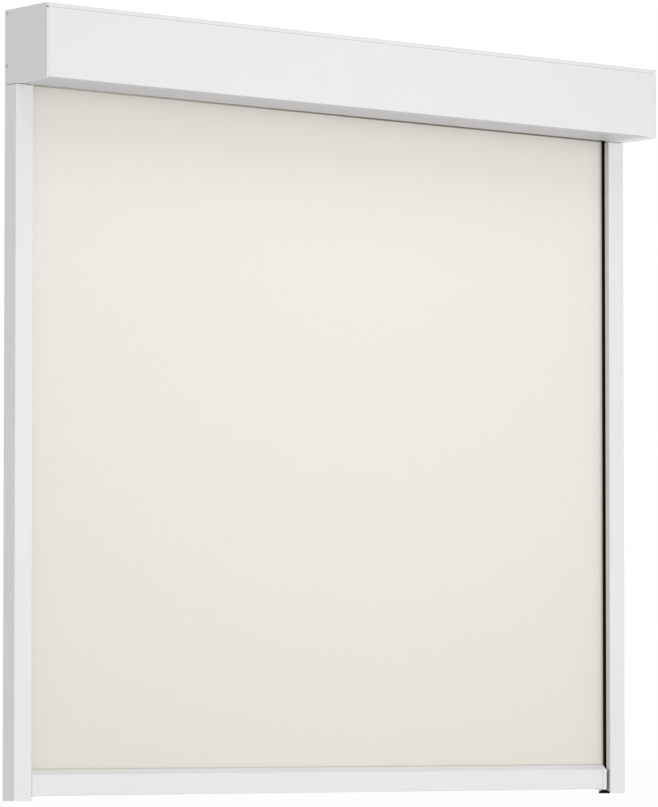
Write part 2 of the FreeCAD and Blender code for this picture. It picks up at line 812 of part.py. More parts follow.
screen_top = axis_z - S.hook_gap
screen_back = -(S.fabric_plane - S.fabric_thickness / 2)
screen_front = -(S.fabric_plane + S.fabric_thickness / 2)
hem_level = S.bar_height - S.hem_depth
hem_bore = S.hem_radius + S.hook_gap


def fabric_screen():
    """The hanging stretch of the screen, from the roll to the hem rod."""
    piece = Piece("fabric_screen")
    bottom = bar_bottom + hem_level + hem_bore
    edge = half_width - fabric_edge
    sheet_outline = rectangle(-edge, edge, screen_front, screen_back)
    piece.pad("XY", [sheet_outline], bottom, screen_top - bottom)


def zip_tape(name, side):
    """Edge tape with the bead that the zip channel holds."""
    piece = Piece("zip_tape_" + name)
    bottom = bar_bottom + S.bar_height + S.hook_gap
    middle = (half_width - bead_middle) * side
    tape = rectangle((half_width - fabric_edge) * side, middle, screen_front, screen_back)
    piece.pad("XY", [tape], bottom, screen_top - bottom)
    bead_length = box_bottom + S.guide_height - bottom
    piece.pad("XY", [(middle, -S.fabric_plane, S.bead_radius)], bottom, bead_length)


# Roller: every piece turns about the X axis through (axis_y, axis_z)

def roller_piece(label):
    return Piece(label, y=axis_y, z=axis_z)


def disc(piece, low, high, radius):
    """A round pad between two places on the roller's axis."""
    return piece.pad("YZ", [(ZERO, ZERO, radius)], low, high - low)


def bore(piece, low, high, radius):
    return piece.cut("YZ", [(ZERO, ZERO, radius)], low, high - low)


def square(half):
    return rectangle(-half, half, -half, half)


def roller_tube():
    """Round tube with the inner channel that holds the screen's keder."""
    piece = roller_piece("roller_tube")
    disc(piece, -tube_end, tube_end, S.tube_radius)
    bore(piece, -tube_end, tube_end, tube_bore)
    length = tube_end * 2
    boss = rectangle(-(S.tube_radius - S.tube_wall / 2), keder_reach, -S.keder_boss, S.keder_boss)
    piece.pad("YZ", [boss], -tube_end, length)
    channel = (keder_middle, ZERO, S.keder_radius + S.screw_slack * 2)
    piece.cut("YZ", [channel], -tube_end, length)
    slit = rectangle(-(S.tube_radius + S.cut_margin), keder_middle, -S.fabric_thickness,
                     S.fabric_thickness)
    piece.cut("YZ", [slit], -tube_end, length)


def keder_rod():
    piece = roller_piece("keder_rod")
    half = half_width - fabric_edge
    piece.pad("YZ", [(keder_middle, ZERO, S.keder_radius)], -half, half * 2)


def notch_for_channel(piece, low, high):
    """Room in a wheel or plug for the tube's inner channel."""
    wide = S.keder_boss + S.adapter_fit
    notch = rectangle(-S.tube_radius, keder_reach + S.adapter_fit, -wide, wide)
    piece.cut("YZ", [notch], low, high - low)


def lighten(piece, low, high):
    """Six round holes between the hub and the rim."""
    hub = S.shaft_radius * 2
    rim = -keder_reach
    holes = piece.cut("YZ", [(ZERO, (hub + rim) / 2, (rim - hub) / 2 - S.hole_land)], low, high - low)
    piece.around(holes, 6)


def tube_plug():
    """Idler end of the tube: a flanged plug that carries the pin."""
    piece = roller_piece("tube_plug")
    flange_low = -(tube_end + flange_reach)
    flange_high = -(tube_end + S.adapter_fit)
    end = -(tube_end - S.plug_length)
    disc(piece, flange_low, end, wheel_radius)
    notch_for_channel(piece, flange_high, end)
    disc(piece, flange_low, flange_high, S.tube_radius)
    bore(piece, flange_low, end, shaft_bore)
    lighten(piece, flange_low, end)


def idler_pin():
    """Steel pin in the plug, with the shoulder that keeps the tube off the bearing."""
    piece = roller_piece("idler_pin")
    outer_end = -(bracket_face + S.bearing_inset / 2)
    shoulder_outer = -(bracket_face - bearing_out - S.adapter_fit)
    shoulder_inner = -(tube_end + flange_reach + S.adapter_fit)
    inner_end = -(tube_end - S.plug_length - S.pin_shoulder)
    shoulder = S.shaft_radius + S.pin_shoulder
    piece.turn([[
        (outer_end, ZERO),
        (outer_end, S.shaft_radius - S.pin_edge),
        (outer_end + S.pin_edge, S.shaft_radius),
        (shoulder_outer, S.shaft_radius),
        (shoulder_outer, shoulder),
        (shoulder_inner, shoulder),
        (shoulder_inner, S.shaft_radius),
        (inner_end, S.shaft_radius),
        (inner_end, ZERO),
    ]], "H_Axis")


def idler_bearing():
    """Ball bearing with its two shields."""
    piece = roller_piece("idler_bearing")
    low = -(bracket_face + S.bearing_inset)
    high = low + S.bearing_width
    inner_ring = shaft_bore + S.bearing_ring
    outer_ring = S.bearing_radius - S.bearing_ring
    piece.turn([[
        (low, shaft_bore),
        (high, shaft_bore),
        (high, inner_ring),
        (high - S.bearing_shield, inner_ring),
        (high - S.bearing_shield, outer_ring),
        (high, outer_ring),
        (high, S.bearing_radius),
        (low, S.bearing_radius),
        (low, outer_ring),
        (low + S.bearing_shield, outer_ring),
        (low + S.bearing_shield, inner_ring),
        (low, inner_ring),
    ]], "H_Axis")


def bracket(name, side, opening, boss=None):
    """Plate on a cheek with rounded corners, an opening, and a boss where it holds a bearing."""
    piece = roller_piece(name)
    half = S.bracket_screw_at + head_radius + S.bracket_edge
    piece.pad("YZ", [square(half)], start_of(side, bracket_face, cap_inner), S.bracket_plate)
    corners = [(None, half * across, half * up) for across in (-1, 1) for up in (-1, 1)]
    piece.soften("Fillet", S.bracket_radius, corners)
    for u, v in bracket_corners():
        screw_hole(piece, "YZ", u, v, bracket_face * side, side, S.bracket_plate)
    if boss:
        piece.pad("YZ", [boss], start_of(side, bracket_face - bearing_out, bracket_face), bearing_out)
    shape, low, high = opening
    piece.cut("YZ", [shape], start_of(side, low, high), high - low)


def brackets():
    seat = (ZERO, ZERO, S.bearing_radius + S.running_gap)
    boss = (ZERO, ZERO, S.bearing_radius + S.bearing_boss)
    bearing_low = bracket_face - bearing_out
    bracket("idler_bracket", -1, (seat, bearing_low, bearing_low + S.bearing_width), boss)
    motor_seat = square(S.head_square / 2 + S.fit_gap)
    bracket("motor_bracket", 1, (motor_seat, bracket_face, cap_inner))


def motor_head():
    """Fixed head of the tubular motor: square spigot, flange and the sleeve for the crown."""
    piece = roller_piece("motor_head")
    flange_low = bracket_face - S.head_flange
    disc(piece, flange_low, bracket_face, S.head_radius)
    disc(piece, motor_high, flange_low, sleeve_radius)
    piece.pad("YZ", [square(S.head_square / 2)], bracket_face, S.bracket_plate)
    flat = S.head_radius - S.head_flat
    beyond = S.head_radius + S.cut_margin
    for low, high in ((flat, beyond), (-beyond, -flat)):
        piece.cut("YZ", [rectangle(-beyond, beyond, low, high)], flange_low, S.head_flange)


def motor_tube():
    """Steel tube of the motor, with the bore for its output shaft."""
    piece = roller_piece("motor_tube")
    piece.turn([[
        (motor_low, ZERO),
        (motor_low, motor_radius - S.motor_edge),
        (motor_low + S.motor_edge, motor_radius),
        (motor_high, motor_radius),
        (motor_high, ZERO),
    ]], "H_Axis")
    bore(piece, motor_low, motor_low + S.shaft_seat, shaft_bore)


def motor_shaft():
    piece = roller_piece("motor_shaft")
    disc(piece, motor_low - S.wheel_gap - S.wheel_width, motor_low + S.shaft_seat - S.fit_gap,
         S.shaft_radius)


def drive_wheel():
    """Wheel on the motor's shaft that turns the tube."""
    piece = roller_piece("drive_wheel")
    high = motor_low - S.wheel_gap
    low = high - S.wheel_width
    disc(piece, low, high, wheel_radius)
    notch_for_channel(piece, low, high)
    bore(piece, low, high, shaft_bore)
    lighten(piece, low, high)


def crown_adapter():
    """Ring between the tube's motor end and the sleeve of the head."""
    piece = roller_piece("crown_adapter")
    flange_low = tube_end + S.adapter_fit
    flange_high = tube_end + flange_reach
    disc(piece, motor_high, flange_high, wheel_radius)
    notch_for_channel(piece, motor_high, flange_low)
    disc(piece, flange_low, flange_high, S.tube_radius)
    bore(piece, motor_high, flange_high, sleeve_radius + S.running_gap)


def fabric_roll():
    """The turns that stay on the tube: one spiral of half circles with two centres."""
    step = pitch.number / 2
    inner = []
    outer = []
    for turn in range(int(ROLL_TURNS * 2)):
        up = 1 if turn % 2 == 0 else -1
        radius = roll_start.number + step * (turn + 0.5)
        middle = step / 2 * up
        for edges, reach in ((inner, radius), (outer, radius + S.fabric_thickness.number)):
            edges.append(Part.Arc(
                FreeCAD.Vector(0, middle - reach * up, 0),
                FreeCAD.Vector(0, middle, reach * up),
                FreeCAD.Vector(0, middle + reach * up, 0),
            ).toShape())
    starts = [edges[0].Vertexes[0].Point for edges in (inner, outer)]
    ends = [edges[-1].Vertexes[-1].Point for edges in (inner, outer)]
    border = inner + outer
    border.append(Part.LineSegment(*starts).toShape())
    border.append(Part.LineSegment(*ends).toShape())
    face = Part.Face(Part.Wire(Part.__sortEdges__(border)))
    half = (half_width - bead_middle).number
    face.translate(FreeCAD.Vector(-half, 0, 0))
    roll = doc.addObject("Part::Feature", "fabric_roll")
    roll.Label = "fabric_roll"
    roll.Shape = face.extrude(FreeCAD.Vector(2 * half, 0, 0))
    roll.setExpression("Placement.Base.y", axis_y.text)
    roll.setExpression("Placement.Base.z", axis_z.text)
    PIECES.append(roll)


# Bottom bar: its pieces are measured from its underside

bar_middle = -(bar_front + S.bar_back) / 2
bar_screw_y = -(bar_front - S.bar_screw_front)
bar_screw_z = S.bar_height - S.bar_screw_top
chamber_half = (bar_front - S.bar_back) / 2 - S.bar_wall
chamber_height = bar_screw_z - hole_radius - S.bar_web - S.weight_floor
weight_radius = smaller(chamber_half, chamber_height / 2) - S.weight_room
seal_half = S.seal_slot / 2


def bar_piece(label):
    return Piece(label, z=bar_bottom)


def bar_body(piece, start, length, proud):
    """The bar's outside, with its long front edges rounded, or the larger one of its caps."""
    front_face = -(bar_front + proud)
    shoulder = S.bar_height - S.front_shoulder
    piece.pad("YZ", [[
        (-S.bar_back, -proud),
        (front_face, -proud),
        (front_face, shoulder),
        (-(S.fabric_plane + S.bar_lips + proud), S.bar_height),
        (-(S.fabric_plane - S.bar_lips), S.bar_height),
        (-S.bar_back, S.bar_height - S.back_shoulder),
    ]], start, length)
    piece.soften("Fillet", S.bar_edge_radius, [(None, front_face, -proud), (None, front_face, shoulder)])


def bar_chamber(gap):
    """Section of the weight's chamber, or of what fits in it with a gap all round."""
    return rectangle(bar_middle - chamber_half + gap, bar_middle + chamber_half - gap,
                     S.weight_floor + gap, S.weight_floor + chamber_height - gap)


def hem_slit(low):
    return rectangle(-(S.fabric_plane + S.bar_slit / 2), -(S.fabric_plane - S.bar_slit / 2), low,
                     S.bar_height + S.cut_margin)


def seal_section(gap):
    """Section of the slot under the bar, or of the strip that fits in it with a gap."""
    neck = seal_half - gap
    head = seal_half * 2 - gap
    lip = S.seal_lip + gap
    top = S.seal_lip * 3 - gap
    return [
        (bar_middle - neck, gap),
        (bar_middle + neck, gap),
        (bar_middle + neck, lip),
        (bar_middle + head, lip),
        (bar_middle + head, top),
        (bar_middle - head, top),
        (bar_middle - head, lip),
        (bar_middle - neck, lip),
    ]


def bar_profile():
    """Hollow extrusion: weight chamber, hem groove, screw channel and seal slot."""
    piece = bar_piece("bar_profile")
    length = bar_half * 2
    bar_body(piece, -bar_half, length, ZERO)
    piece.cut("YZ", [bar_chamber(ZERO)], -bar_half, length)
    piece.cut("YZ", [(-S.fabric_plane, hem_level, hem_bore)], -bar_half, length)
    piece.cut("YZ", [hem_slit(hem_level)], -bar_half, length)
    piece.cut("YZ", [(bar_screw_y, bar_screw_z, hole_radius)], -bar_half, length)
    piece.cut("YZ", [seal_section(ZERO)], -bar_half, length)


def bar_seal():
    """Rubber strip in the slot under the bar."""
    bar_piece("bar_seal").pad("YZ", [seal_section(S.fit_gap)], -bar_half, bar_half * 2)


def weight_rod():
    """Steel rod that keeps the screen taut."""
    half = bar_half - S.bar_plug - S.weight_room
    level = S.weight_floor + weight_radius + S.fit_gap
    bar_piece("weight_rod").pad("YZ", [(bar_middle, level, weight_radius)], -half, half * 2)


def hem_rod():
    """Rod in the screen's hem, held by the groove of the bar."""
    section = (-S.fabric_plane, hem_level, S.hem_radius)
    bar_piece("hem_rod").pad("YZ", [section], -bar_half, bar_half * 2)


def bar_cap(name, side):
    """Plastic end of the bar, a little larger than it: plug, slot for the screen, slider's seat."""
    piece = bar_piece("bar_cap_" + name)
    start = start_of(side, bar_half, bar_cap_end)
    bar_body(piece, start, S.bar_cap_width, S.cap_proud)
    piece.soften("Fillet", S.bar_corner_radius, [(bar_cap_end * side, None, -S.cap_proud)])
    plug_start = start_of(side, bar_half - S.bar_plug, bar_half)
    piece.pad("YZ", [bar_chamber(S.fit_gap)], plug_start, S.bar_plug)
    piece.cut("YZ", [hem_slit(hem_level + S.hem_radius)], start, S.bar_cap_width)
    screw_hole(piece, "YZ", bar_screw_y, bar_screw_z, bar_cap_end * side, -side, S.bar_cap_width)
    half_neck = S.slider_neck / 2 + S.screw_slack
    seat = rectangle(-(S.fabric_plane + half_neck), -(S.fabric_plane - half_neck),
                     S.slider_low - S.screw_slack, S.slider_low + S.slider_height + S.screw_slack)
    piece.cut("YZ", [seat], start_of(side, bar_cap_end - S.slider_seat, bar_cap_end), S.slider_seat)
    groove = rectangle(bar_half * side, (bar_half + S.groove_width) * side,
                       -(S.cap_proud + S.cut_margin), S.bar_height + S.cut_margin)
    piece.cut("XZ", [groove], bar_front - S.groove_depth, S.groove_depth + S.cap_proud)


def bar_pad(name, side):
    """Black pad on the end of the bar, which keeps it off the rail and hides the gap."""
    piece = bar_piece("bar_pad_" + name)
    low = bar_cap_end + S.screw_slack
    start = start_of(side, low, low + S.pad_wall)
    plate = rectangle(-(S.rail_depth - S.pad_recess), -S.bar_back, S.joint_gap * 2,
                      S.bar_height - S.front_shoulder)
    piece.pad("YZ", [plate], start, S.pad_wall)
    half_neck = S.slider_neck / 2 + S.screw_slack
    slot = rectangle(-(S.fabric_plane + half_neck), -(S.fabric_plane - half_neck),
                     S.slider_low - S.screw_slack, S.bar_height)
    piece.cut("YZ", [slot], start, S.pad_wall)
    piece.cut("YZ", [(bar_screw_y, bar_screw_z, head_radius + S.screw_slack)], start, S.pad_wall)


def bar_slider(name, side):
    """Flat tongue of the bar with the head that runs in the zip channel."""
    piece = bar_piece("bar_slider_" + name)
    neck = S.slider_neck / 2
    head = S.slider_head / 2
    near = half_width - cavity_inner + S.hook_gap * 2
    far = half_width - cavity_outer - S.hook_gap * 2
    seat = bar_cap_end - S.slider_seat + S.screw_slack
    outline = [
        (seat, -neck),
        (near, -neck),
        (near, -head),
        (far, -head),
        (far, head),
        (near, head),
        (near, neck),
        (seat, neck),
    ]
    piece.pad("XY", [[(x * side, y - S.fabric_plane) for x, y in outline]], S.slider_low,
              S.slider_height)
    ends = [(far * side, None, level) for level in (S.slider_low, S.slider_low + S.slider_height)]
    piece.soften("Chamfer", S.slider_chamfer, ends)


def bar_cap_screws():
    screws = []
    for name, side in SIDES:
        item = screw(f"bar_cap_screw_{name}", S.cap_screw_length)
        screws.append(place(item, bar_cap_end * side, bar_screw_y, bar_bottom + bar_screw_z,
                            facing_x(side)))
    screw_group("bar_cap_screws", screws)


# The whole blind

housing()
front_cover()
cassette_screws()
cable_grommet()
fabric_screen()
roller_tube()
keder_rod()
tube_plug()
idler_pin()
idler_bearing()
brackets()
motor_head()
motor_tube()
motor_shaft()
drive_wheel()
crown_adapter()
fabric_roll()
bar_profile()
bar_seal()
weight_rod()
hem_rod()
bar_cap_screws()
for side_name, side_sign in SIDES:
    end_cap(side_name, side_sign)
    rail_base(side_name, side_sign)
    rail_cover(side_name, side_sign)
    zip_channel(side_name, side_sign)
    inlet_guide(side_name, side_sign)
    rail_foot(side_name, side_sign)
    zip_tape(side_name, side_sign)
    bar_cap(side_name, side_sign)
    bar_pad(side_name, side_sign)
    bar_slider(side_name, side_sign)
doc.recompute()

# Checks and files

for item in doc.Objects:
    if "Invalid" in item.State or "Error" in item.State:
        raise RuntimeError(f"{item.Label} is {item.State}")
for item in PIECES:
    if item.Shape.isNull() or not item.Shape.isValid() or not item.Shape.Solids:
        raise RuntimeError(f"{item.Label} has no valid solid")
os.makedirs("parts", exist_ok=True)
for item in PIECES:
    item.Shape.exportStep(f"parts/{item.Label}.step")
bar_travel = S.rail_length - S.bar_rise - S.bar_height
print(f"{len(PIECES)} pieces; the bar's top meets the cassette after {bar_travel.number:.1f} mm")
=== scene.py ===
import json
import math
import bmesh
import bpy
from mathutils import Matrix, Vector


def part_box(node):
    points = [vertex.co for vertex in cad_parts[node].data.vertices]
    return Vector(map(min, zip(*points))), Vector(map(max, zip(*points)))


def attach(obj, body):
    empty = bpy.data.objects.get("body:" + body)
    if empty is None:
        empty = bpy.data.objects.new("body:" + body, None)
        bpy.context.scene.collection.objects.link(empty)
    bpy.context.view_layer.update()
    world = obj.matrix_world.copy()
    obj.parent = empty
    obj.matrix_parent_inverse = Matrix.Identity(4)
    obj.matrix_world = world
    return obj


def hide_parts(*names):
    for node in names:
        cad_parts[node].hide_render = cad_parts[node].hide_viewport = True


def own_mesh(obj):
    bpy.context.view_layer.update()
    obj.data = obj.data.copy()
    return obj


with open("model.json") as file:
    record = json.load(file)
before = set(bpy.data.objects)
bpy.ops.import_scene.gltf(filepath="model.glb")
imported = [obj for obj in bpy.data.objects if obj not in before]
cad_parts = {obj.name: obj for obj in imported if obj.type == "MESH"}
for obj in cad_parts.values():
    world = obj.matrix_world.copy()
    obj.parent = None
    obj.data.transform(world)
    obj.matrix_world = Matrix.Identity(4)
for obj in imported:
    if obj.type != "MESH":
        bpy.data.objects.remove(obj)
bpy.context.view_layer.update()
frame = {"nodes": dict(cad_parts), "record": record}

# Exterior roller blind in metres: X along the width, the wall at Y = 0, the front towards -Y, Z up.

# Finishes

MIX_COLOURS = (6, 7)                 # sockets of a mix node that take colours
MIX_RESULT = 2                       # and the one that gives the mixed colour
NOISE_LOW = 0.3                      # a noise pattern lies mostly between these two values
NOISE_HIGH = 0.7


class Finish:
    """A procedural material that reads the object's own coordinates."""

    def __init__(self, name, settings):
        self.material = bpy.data.materials.new(name)
        self.material.use_nodes = True
        tree = self.material.node_tree
        self.nodes = tree.nodes
        self.links = tree.links
        self.shader = self.nodes["Principled BSDF"]
        for socket, value in settings.items():
            self.shader.inputs[socket].default_value = value
        self.place = self.nodes.new("ShaderNodeTexCoord").outputs["Object"]

    def noise(self, size, detail=2.0, stretch=(1, 1, 1)):
        """Soft patches about size metres across, made longer along an axis by stretch."""
        mapping = self.nodes.new("ShaderNodeMapping")
        mapping.inputs["Scale"].default_value = [1 / (size * factor) for factor in stretch]
        self.links.new(self.place, mapping.inputs["Vector"])
        noise = self.nodes.new("ShaderNodeTexNoise")
        noise.inputs["Scale"].default_value = 1.0
        noise.inputs["Detail"].default_value = detail
        self.links.new(mapping.outputs["Vector"], noise.inputs["Vector"])
        return noise.outputs["Fac"]

    def spread(self, source, low, high, start=NOISE_LOW, end=NOISE_HIGH):
        """Turns a pattern that lies between start and end into values from low to high."""
        node = self.nodes.new("ShaderNodeMapRange")
        for socket, value in zip(("From Min", "From Max", "To Min", "To Max"), (start, end, low, high)):
            node.inputs[socket].default_value = value
        self.links.new(source, node.inputs["Value"])
        return node.outputs["Result"]

    def calculate(self, operation, first, second):
        """One step of arithmetic on a pattern, with a number or another pattern."""
        node = self.nodes.new("ShaderNodeMath")
        node.operation = operation
        for socket, value in zip(node.inputs, (first, second)):
            if isinstance(value, bpy.types.NodeSocket):
                self.links.new(value, socket)
            else:
                socket.default_value = value
        return node.outputs["Value"]

    def colour(self, source, dark, light, start=NOISE_LOW, end=NOISE_HIGH):
        """Colours the surface from dark to light as the pattern goes from start to end."""
        ramp = self.nodes.new("ShaderNodeValToRGB")
        for element, place, value in zip(ramp.color_ramp.elements, (start, end), (dark, light)):
            element.position = place
            element.color = (*value, 1)
        self.links.new(source, ramp.inputs["Fac"])
        self.links.new(ramp.outputs["Color"], self.shader.inputs["Base Color"])

    def beyond(self, axis, limit, fade):
        """1 where X, Y, Z or the distance from the middle (|X|) is past the limit, 0 before it."""
        axes = self.nodes.new("ShaderNodeSeparateXYZ")
        self.links.new(self.place, axes.inputs["Vector"])
        value = axes.outputs[axis.strip("|")]
        if "|" in axis:
            value = self.calculate("ABSOLUTE", value, 0.0)
        return self.spread(value, 0.0, 1.0, limit, limit + fade)

    def before(self, axis, limit, fade):
        """The opposite: 1 before the limit."""
        return self.calculate("SUBTRACT", 1.0, self.beyond(axis, limit, fade))

    def stain(self, mask, tone):
        """Multiplies the colour by the tone where the mask is 1."""
        base = self.shader.inputs["Base Color"]
        mix = self.nodes.new("ShaderNodeMix")
        mix.data_type = "RGBA"
        mix.blend_type = "MULTIPLY"
        first, second = (mix.inputs[index] for index in MIX_COLOURS)
        self.links.new(mask, mix.inputs["Factor"])
        self.links.new(base.links[0].from_socket, first)
        second.default_value = (*tone, 1)
        self.links.new(mix.outputs[MIX_RESULT], base)

    def roughness(self, source, low, high):
        self.links.new(self.spread(source, low, high), self.shader.inputs["Roughness"])

    def bump(self, source, height):
        node = self.nodes.new("ShaderNodeBump")
        node.inputs["Strength"].default_value = 1.0
        node.inputs["Distance"].default_value = height
        self.links.new(source, node.inputs["Height"])
        self.links.new(node.outputs["Normal"], self.shader.inputs["Normal"])


CLOUD = 0.12                         # breadth of the soft patches in a finish's colour
DETAIL = 3.0                         # how many finer layers its noise has


def shade(colour, change):
    return [channel * (1 + change) for channel in colour]


def plain_finish(name, colour, variation, grain, bump, roughness, settings=None, stretch=(1, 1, 1)):
    """Broad colour variation, and a grain that gives the bump and the roughness."""
    finish = Finish(name, settings or {})
    clouds = finish.noise(CLOUD, DETAIL, stretch)
    finish.colour(clouds, shade(colour, -variation), shade(colour, variation))
    texture = finish.noise(grain, DETAIL, stretch)
    finish.roughness(texture, *roughness)
    finish.bump(texture, bump)
    return finish


WHITE = (0.806, 0.806, 0.806)


def powder_coat(name="powder_coat"):
    """White coat with the fine orange peel of baked powder."""
    return plain_finish(name, WHITE, variation=0.012, grain=0.0016, bump=0.00004, roughness=(0.36, 0.46))


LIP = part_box("rail_cover_right")[0].x              # inner face of the right rail, beside the screen
LIP_SKIN = 0.0001                    # this close to the face, the coat counts as the lip's
# painted shade on the lips' inner faces
LIP_SHADE_TONE = (0.78, 0.775, 0.77)
CHANNEL_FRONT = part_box("zip_channel_right")[0].y   # the black channels' face behind the lips
CHANNEL_SHADE_BAND = 0.0015                 # how far before it the lips are painted black, a painted shadow of the gap
# painted black shadow of the gap, on the lips and on the cloth's edges
SLOT_SHADE_TONE = (0.10, 0.10, 0.10)
SHARP = 0.0003                       # the fade of an edge between two tones


def shaded_lip_coat():
    """The rails' coat, with painted shade on the lips' inner faces and a painted black shadow of the gap
    next to the channel.
    """
    finish = powder_coat("shaded_lip_coat")
    lip = finish.before("|X|", LIP + LIP_SKIN, SHARP)
    # painted shade on the lip
    finish.stain(lip, LIP_SHADE_TONE)
    beside = finish.beyond("Y", CHANNEL_FRONT - CHANNEL_SHADE_BAND, SHARP)
    # painted black shadow of the gap next to the channel
    finish.stain(finish.calculate("MULTIPLY", lip, beside), SLOT_SHADE_TONE)
    return finish


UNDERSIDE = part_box("front_cover")[0].z             # level of the cassette's underside
UNDER_SHADE_HEIGHT = 0.0015               # the painted shade goes this far round its edges
UNDER_SHADE_EDGE = 0.0005
UNDER_SHADE_END = LIP - 0.005             # it thins out from here on, beside the right rail
UNDER_SHADE_FADE = 0.022
# painted shade on the underside
UNDER_SHADE_TONE = (0.685, 0.695, 0.72)


def shaded_underside_coat():
    """The cassette's coat, with painted shade on its underside as far as the right rail."""
    finish = powder_coat("shaded_underside_coat")
    short_of_rail = finish.before("X", UNDER_SHADE_END, UNDER_SHADE_FADE)
    underside = finish.before("Z", UNDERSIDE + UNDER_SHADE_HEIGHT, UNDER_SHADE_EDGE)
    # painted shade on the underside
    finish.stain(finish.calculate("MULTIPLY", underside, short_of_rail), UNDER_SHADE_TONE)
    return finish


BAR_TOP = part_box("bar_profile")[1].z
SLOPE_HEIGHT = 0.007                 # the bar's sloped top, from its shoulder up
SLOPE_EDGE = 0.0002                  # the darker tone starts this far below the shoulder
SLOPE_FADE = 0.0006
# the bar's sloped top is made a little darker
SLOPE_TONE = (0.955, 0.955, 0.965)


def darken_slope(finish):
    """Makes the bar's sloped top a little darker."""
    shoulder = BAR_TOP - SLOPE_HEIGHT
    finish.stain(finish.beyond("Z", shoulder - SLOPE_EDGE, SLOPE_FADE), SLOPE_TONE)
    return finish


END_CAP_LEVEL = 0.785                # how light the cassette's cheeks are
BAR_CAP_LEVEL = 0.835                # and the bar's caps


def moulded_white(name, level):
    """White plastic with the fine texture of its mould."""
    return plain_finish(name, (level, level, level), variation=0.01, grain=0.0007, bump=0.00003,
                        roughness=(0.42, 0.54))


def painted_steel():
    """White paint on the heads of the screws that show."""
    return plain_finish("painted_steel", (0.67, 0.675, 0.68), variation=0.015, grain=0.0009, bump=0.00003,
                        roughness=(0.35, 0.45))


def moulded_black():
    """Black plastic with hardly any gloss."""
    return plain_finish("moulded_black", (0.004, 0.004, 0.004), variation=0.15, grain=0.0006,
                        bump=0.00003, roughness=(0.45, 0.6), settings={"Specular IOR Level": 0.05})


def scuffed_black():
    """Black plastic that the rails have scuffed grey."""
    return plain_finish("scuffed_black", (0.22, 0.22, 0.22), variation=0.15, grain=0.0006, bump=0.00003,
                        roughness=(0.5, 0.65))


def moulded_grey():
    """Grey plastic of the roller's wheels and plugs, and of the rods in the cloth's hems."""
    return plain_finish("moulded_grey", (0.16, 0.165, 0.17), variation=0.08, grain=0.0008, bump=0.00003,
                        roughness=(0.45, 0.6))


def soft_rubber():
    return plain_finish("soft_rubber", (0.025, 0.025, 0.026), variation=0.2, grain=0.0009, bump=0.00004,
                        roughness=(0.6, 0.8))


def zinc_plate():
    """Plated steel with cloudy spangle."""
    return plain_finish("zinc_plate", (0.52, 0.52, 0.53), variation=0.1, grain=0.0012, bump=0.00002,
                        roughness=(0.28, 0.42), settings={"Metallic": 1.0})


DIE_LINES = (60, 1, 1)               # the grain is this much longer along X


def drawn_aluminium():
    """Bare extrusion with die lines along its length."""
    return plain_finish("drawn_aluminium", (0.66, 0.67, 0.68), variation=0.05, grain=0.0005, bump=0.00001,
                        roughness=(0.24, 0.36), settings={"Metallic": 1.0}, stretch=DIE_LINES)


def motor_paint():
    return plain_finish("motor_paint", (0.1, 0.105, 0.11), variation=0.06, grain=0.0012, bump=0.00003,
                        roughness=(0.35, 0.45))


WEAVE_CELL = 0.0017                  # one cell holds a pair of yarns, and two cells make a repeat
YARN_DEPTH = 0.0001
YARN_TOP = 0.75                      # from this height up, a yarn shows its full colour
CREAM_LIGHT = (0.945, 0.905, 0.86)
CREAM_DARK = (0.835, 0.79, 0.73)
ACROSS_TONE = (0.955, 0.95, 0.945)   # yarns that run across, beside the upright ones
SLUB = 0.004                         # thick places in the upright yarns
SLUB_STRETCH = (1, 1, 12)
SLUB_DARK = 0.86
EDGE_SHADE = 0.5055                        # painted shade on the cloth beside the rails, from here outwards
EDGE_SHADE_FADE = 0.006
EDGE_SHADE_TONE = (0.64, 0.60, 0.50)
SLOT_SHADE_EDGE = 0.5103                 # and a painted black shadow on its edges, where it goes into the channels
SLOT_SHADE_FADE = 0.0008
LINE_FADE = 0.0006                   # edge of the painted shadow lines under the cassette and above the hem
SLOT_LINE_SHADE = (0.34, 0.31, 0.28)       # painted shadow line where the cloth leaves the cassette
LINE_SHADE_START = 0.5                     # its strength at the left
LINE_SHADE_SPAN = (-0.40, 0.10)            # the line grows stronger from left to right over this span
HEM_SHADE_TONE = (0.88, 0.84, 0.79)        # painted contact shadow above the hem rod
HEM_HEIGHT = 0.0012                  # how far it shows above the bar
LOW_SHADE_TOP = 0.25                     # painted shade makes the cloth darker towards the bottom, from here down
CLOTH_LOW_SHADE = (0.92, 0.92, 0.89)


